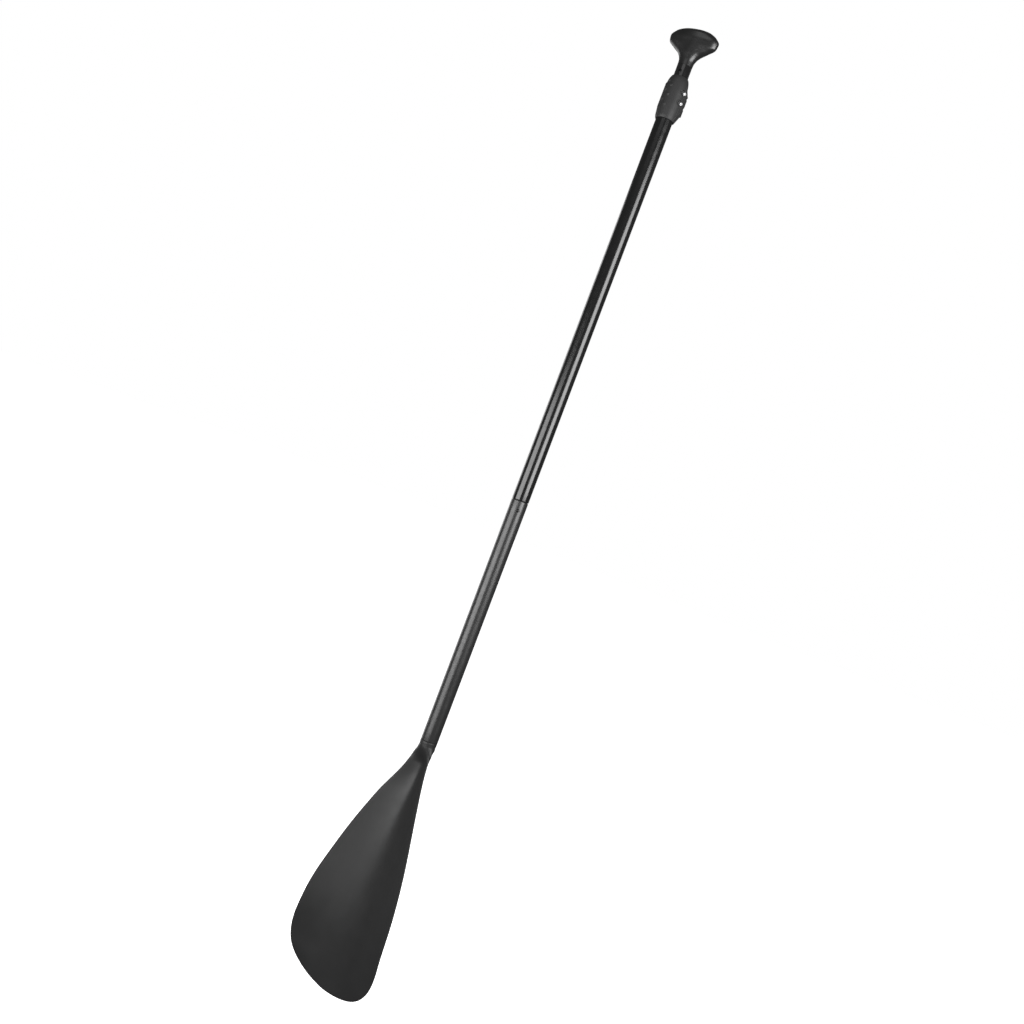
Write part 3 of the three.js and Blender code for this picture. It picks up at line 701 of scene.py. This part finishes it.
def build_rivet(node, angle, height):
    """A blind rivet, with a low domed head and the pit that its mandrel leaves."""
    seat = SHAFT_R + GAP
    tail = 8.6 * MM  # where the set end bulges behind the wall
    set_r = RIVET_R + 0.5 * MM
    proud = 1 * MM
    profile = [
        (set_r, tail - 1.5 * MM),
        (set_r, tail - 0.4 * MM),
        (RIVET_R, tail),
        (RIVET_R, seat),
        (RIVET_HEAD_R, seat),
    ]
    for a in (0.2, 0.5, 0.8, 1.1):
        profile.append((RIVET_HEAD_R * math.cos(a), seat + proud * math.sin(a)))
    profile += [(0.8 * MM, seat + proud), (0.7 * MM, seat + 0.7 * MM)]
    obj = point_outward(solid_of(node + "_skin", profile), angle, height)
    smooth_faces(obj, 40)
    finish_piece(obj, BLACK_STEEL, "shaft", node)


# ------------------------------------------------------------------ grip

# Height above the tube's end, half length and half depth, in millimetres
GRIP_STATIONS = [
    (0, 12.4, 12.4),
    (7, 12.9, 12.4),
    (14, 15.3, 13),
    (21, 20.6, 14.2),
    (29, 31.2, 15),
    (38, 41.3, 16),
    (47, 42.6, 17.3),
    (55, 36.2, 16.5),
    (61, 26, 10.5),
    (65, 12, 2.5),
]


def build_grip():
    count = 160
    lengths = [(h, a) for h, a, b in GRIP_STATIONS]
    depths = [(h, b) for h, a, b in GRIP_STATIONS]
    spigot = EXTENSION_R - TUBE_WALL - GAP
    spigot_bottom = EXTENSION_TOP - 26 * MM
    shoulder = EXTENSION_TOP + GAP
    loops = [
        ring(spigot - 1 * MM, spigot_bottom, count),
        ring(spigot, spigot_bottom + 2 * MM, count),
        ring(spigot, shoulder, count),
    ]
    rows = 90
    height = (GRIP_TOP - shoulder) / MM
    for i in range(rows + 1):
        h = height * i / rows
        a, b = hermite(lengths, h) * MM, hermite(depths, h) * MM
        loops.append([
            Vector((a * math.cos(t), b * math.sin(t), shoulder + h * MM))
            for t in (2 * math.pi * k / count for k in range(count))
        ])
    obj = mesh_object("grip_skin", lambda bm: skin(bm, loops))
    turn_about_shaft(obj, GRIP_TURN)
    combine(obj, "DIFFERENCE", drill(1.6 * MM, GRIP_FRONT, GRIP_SCREW_Z, 2 * MM, 14 * MM))
    smooth_faces(obj, 50)
    finish_piece(obj, GRIP_GLOSS, "extension", "grip")


def build_grip_screw():
    """A pan head screw with a cross recess, from its point out to its head."""
    seat = 11.1  # the head's underside, in millimetres from the axis
    profile = [(0.6, 3), (1.3, 4.5), (1.3, seat), (2.5, seat), (2.5, 11.6), (2.2, 11.9), (1.2, 12)]
    obj = solid_of("grip_screw_skin", [(r * MM, z * MM) for r, z in profile])
    arm, arm_half = 1.6 * MM, 0.3 * MM
    floor, above = (seat + 0.1) * MM, (seat + 2) * MM
    for a, b in ((arm, arm_half), (arm_half, arm)):
        combine(obj, "DIFFERENCE", box_between((-a, -b, floor), (a, b, above)))
    point_outward(obj, GRIP_FRONT, GRIP_SCREW_Z)
    smooth_faces(obj, 40)
    finish_piece(obj, BLACK_STEEL, "extension", "grip_screw")


# ------------------------------------------------------------------ clamp

# Height above the collar's bottom edge and radius there, in millimetres
COLLAR_SIDE = [
    (0, 15.9),
    (4, 17.4),
    (10, 18.2),
    (18, 19),
    (28, 19.5),
    (46, 19.5),
    (56, 18.9),
    (66, 17.4),
    (70, 16.2),
    (74.1, 14.4),
]
COLLAR_BORE_R = SHAFT_R + 0.2 * MM
COLLAR_LIP_R = EXTENSION_R + 0.4 * MM
POCKET_R = BOLT_HEAD_R + 0.2 * MM
DOME_R = 2.8 * MM
# Two staggered columns of domes: the direction in degrees from +X, and heights in millimetres
DOMES = {276: (1110.5, 1127.5, 1143.5), 252: (1119, 1135.5, 1151)}


def collar_radius(height):
    return hermite(COLLAR_SIDE, (height - COLLAR_BOTTOM) / MM) * MM


def collar_body():
    """The turned body, with the lip that closes over the shaft's end."""
    rows = 60
    heights = [mix(COLLAR_BOTTOM, COLLAR_TOP, i / rows) for i in range(rows + 1)]
    profile = [(COLLAR_BORE_R, COLLAR_BOTTOM)]
    profile += [(collar_radius(z), z) for z in heights]
    profile += [
        (COLLAR_LIP_R, COLLAR_TOP),
        (COLLAR_LIP_R, UPPER_TOP + GAP),
        (COLLAR_BORE_R, UPPER_TOP + GAP),
    ]
    return turned("clamp_collar_skin", profile, 160)


def ear_fin():
    """The fin, in the plane of the slit, that the two ears are cut from."""
    root = 14.8  # inside the collar's wall
    reach = EAR_REACH / MM
    points = [(root, 0.5), (15, 0.5), (reach, 17), (reach, 50.5), (15.2, 66), (root, 66)]

    def build(bm):
        sides = []
        for y in (-EAR_HALF, EAR_HALF):
            row = [bm.verts.new((x * MM, y, COLLAR_BOTTOM + z * MM)) for x, z in points]
            bm.faces.new(row)
            sides.append(row)
        for i in range(len(points)):
            j = (i + 1) % len(points)
            bm.faces.new((sides[0][i], sides[0][j], sides[1][j], sides[1][i]))

    return mesh_object("fin", build)


def dome(angle, height):
    """A flattened dome that gives the fingers a hold on the collar."""
    proud = DOME_R * 0.55
    seat = collar_radius(height) - 0.3 * MM
    profile = [(DOME_R * 0.9, seat - 1 * MM)]
    for a in (0, 0.3, 0.6, 0.9, 1.2, 1.45):
        profile.append((DOME_R * math.cos(a), seat + proud * math.sin(a)))
    return point_outward(solid_of("dome", profile, 32), angle - EAR_ANGLE, height)


def bolt_pocket(height):
    """A bolt's way through the ears, with a counterbore that flares out of the side."""
    way = BOLT_R + BOLT_CLEARANCE
    mouth = POCKET_R + 2.8 * MM
    profile = [
        (way, -EAR_HALF - 1 * MM),
        (way, WASHER_SEAT),
        (POCKET_R, WASHER_SEAT),
        (POCKET_R, EAR_HALF - 0.3 * MM),
        (POCKET_R + 1 * MM, EAR_HALF),
        (mouth, EAR_HALF + 9 * MM),
        (mouth, EAR_HALF + 14 * MM),
    ]
    return across_slit(solid_of("pocket", profile, 48), height)


def build_collar():
    obj = collar_body()
    domes = [dome(angle, height * MM) for angle, heights in DOMES.items() for height in heights]
    combine(obj, "UNION", ear_fin(), *domes)
    below, above = COLLAR_BOTTOM - 1 * MM, COLLAR_TOP + 1 * MM
    outside = 30 * MM
    bore = solid_of("bore", [(COLLAR_BORE_R, below), (COLLAR_BORE_R, UPPER_TOP + GAP)], 160)
    slit = box_between((10 * MM, -SLIT_HALF, below), (outside, SLIT_HALF, above))
    seat_bottom, seat_top = LEVER_BOTTOM - LEVER_ROOM, LEVER_TOP + LEVER_ROOM
    behind_ears = box_between((12 * MM, EAR_HALF, seat_bottom), (outside, outside, seat_top))
    seat_end = LEVER_TIP_ANGLE - EAR_ANGLE + 2
    lever_seat = sector(
        LEVER_SEAT_R, outside, LEVER_SEAT_START, seat_end, seat_bottom, seat_top
    )
    pockets = [bolt_pocket(z) for z in BOLTS.values()]
    combine(obj, "DIFFERENCE", bore, slit, behind_ears, lever_seat, *pockets)
    moulded(obj, 0.32 * MM, 4)
    on_clamp(obj)
    finish_piece(obj, COLLAR_NYLON, "shaft", "clamp_collar")


def build_bolt(node):
    """A cap screw from the front ear, through the cam plate, into the cam barrel."""
    edge = 0.6 * MM
    socket_r, socket_depth = 1.5 * MM, 1.7 * MM
    barrel_back = -BARREL_BEHIND - BARREL_R
    profile = [
        (BOLT_R - 0.4 * MM, barrel_back + 0.6 * MM),
        (BOLT_R, barrel_back + 1 * MM),
        (BOLT_R, HEAD_SEAT),
        (BOLT_HEAD_R, HEAD_SEAT),
    ]
    profile += fillet((BOLT_HEAD_R - edge, HEAD_TOP - edge), edge, 0, 90)
    obj = solid_of(node + "_skin", profile)
    socket = [(socket_r, HEAD_TOP - socket_depth), (socket_r, HEAD_TOP + 1 * MM)]
    combine(obj, "DIFFERENCE", solid_of("socket", socket, 6))
    across_slit(obj, BOLTS[node])
    on_clamp(smooth_faces(obj, 35))
    finish_piece(obj, BRIGHT_STEEL, "shaft", node)


def build_washer(node, bolt):
    inner, outer = BOLT_R + BOLT_CLEARANCE, 3 * MM
    back, front = WASHER_SEAT + 0.1 * MM, HEAD_SEAT - 0.1 * MM
    profile = [(outer, back), (outer, front), (inner, front), (inner, back)]
    obj = turned(node + "_skin", profile, 64)
    across_slit(obj, BOLTS[bolt])
    on_clamp(smooth_faces(obj, 35))
    finish_piece(obj, BRIGHT_STEEL, "shaft", node)


def remoulded(node, material, body, voxel, smoothing):
    """A CAD piece whose straight edges are melted into small radii."""
    obj = moulded(copy_of(node, node + "_skin"), voxel, smoothing)
    finish_piece(obj, material, body, node)


# ------------------------------------------------------------------ build

build_blade()
build_lower_shaft()
build_upper_shaft()
build_extension_tube()
build_snap_button()
build_rivet("blade_rivet", BLADE_RIVET_ANGLE, BLADE_RIVET_Z)
build_rivet("ferrule_rivet", FERRULE_RIVET_ANGLE, FERRULE_RIVET_Z)
build_grip()
build_grip_screw()
build_collar()
build_bolt("clamp_bolt_lower")
build_bolt("clamp_bolt_upper")
build_washer("clamp_washer_lower", "clamp_bolt_lower")
build_washer("clamp_washer_upper", "clamp_bolt_upper")
remoulded("clamp_lever", COLLAR_NYLON, "lever", 0.3 * MM, 5)
remoulded("cam_plate", PIN_STEEL, "shaft", 0.15 * MM, 2)
remoulded("cam_barrel", PIN_STEEL, "shaft", 0.2 * MM, 1)

# Pieces that stay as the CAD made them, inside the tubes
HIDDEN = {
    "float_plug": FOAM,
    "section_ferrule": DARK_ALUMINIUM,
    "snap_spring": PIN_STEEL,
    "guide_bush": DARK_NYLON,
    "extension_end_plug": DARK_NYLON,
}

for node, material in HIDDEN.items():
    NODES[node].data.materials.clear()
    NODES[node].data.materials.append(material)

# ------------------------------------------------------------------ studio


def softbox(name, azimuth, distance, height, size, power, aim_height):
    """A soft light on the floor plan at that azimuth, turned to the shaft."""
    data = bpy.data.lights.new(name, "AREA")
    data.shape = "RECTANGLE"
    data.size, data.size_y = size
    data.energy = power
    light = bpy.data.objects.new(name, data)
    bpy.context.scene.collection.objects.link(light)
    a = math.radians(azimuth)
    place = Vector((distance * math.sin(a), -distance * math.cos(a), height))
    light.location = place
    light.rotation_euler = (Vector((0, 0, aim_height)) - place).to_track_quat("-Z", "Y").to_euler()
    return light


def white_ground():
    """A plain white floor just under the blade's tip."""
    half = 30
    z = -BLADE_TIP - 4 * MM

    def build(bm):
        signs = ((-1, -1), (1, -1), (1, 1), (-1, 1))
        bm.faces.new([bm.verts.new((x * half, y * half, z)) for x, y in signs])

    floor = mesh_object("floor", build)
    n = Nodes("floor_white")
    n.shader.inputs["Base Color"].default_value = (1, 1, 1, 1)
    n.shader.inputs["Roughness"].default_value = 1
    n.shader.inputs["Specular IOR Level"].default_value = 0
    n.shader.inputs["Emission Color"].default_value = (1, 1, 1, 1)
    n.shader.inputs["Emission Strength"].default_value = 1.0
    floor.data.materials.append(n.material)
    floor.visible_glossy = False
    floor.visible_diffuse = False
    floor.visible_shadow = False


REFLECTED_LEVEL = 0.12


def world():
    """White to the eye, dim to the reflections, so that only the lights draw the gloss."""
    made = bpy.data.worlds.new("studio")
    bpy.context.scene.world = made
    made.use_nodes = True
    tree = made.node_tree
    ground = tree.nodes["Background"]
    ground.inputs["Color"].default_value = (1, 1, 1, 1)
    path = tree.nodes.new("ShaderNodeLightPath")
    level = tree.nodes.new("ShaderNodeMapRange")
    level.inputs["To Min"].default_value = REFLECTED_LEVEL
    level.inputs["To Max"].default_value = 1.0
    tree.links.new(path.outputs["Is Camera Ray"], level.inputs["Value"])
    tree.links.new(level.outputs["Result"], ground.inputs["Strength"])


white_ground()
world()
softbox("left_box", -6, 1.6, 0.25, (1.7, 1.05), 42, 0.25)
softbox("right_box", 84, 1.6, 0.87, (1.2, 1.2), 48, 0.87)
softbox("rim_box", -102, 1.6, 0.4, (1.0, 2.0), 12, 0.4)
softbox("top_box", 20, 1.4, 2.2, (1.2, 1.2), 6, 1.2)
bpy.context.scene.view_settings.view_transform = "Standard"
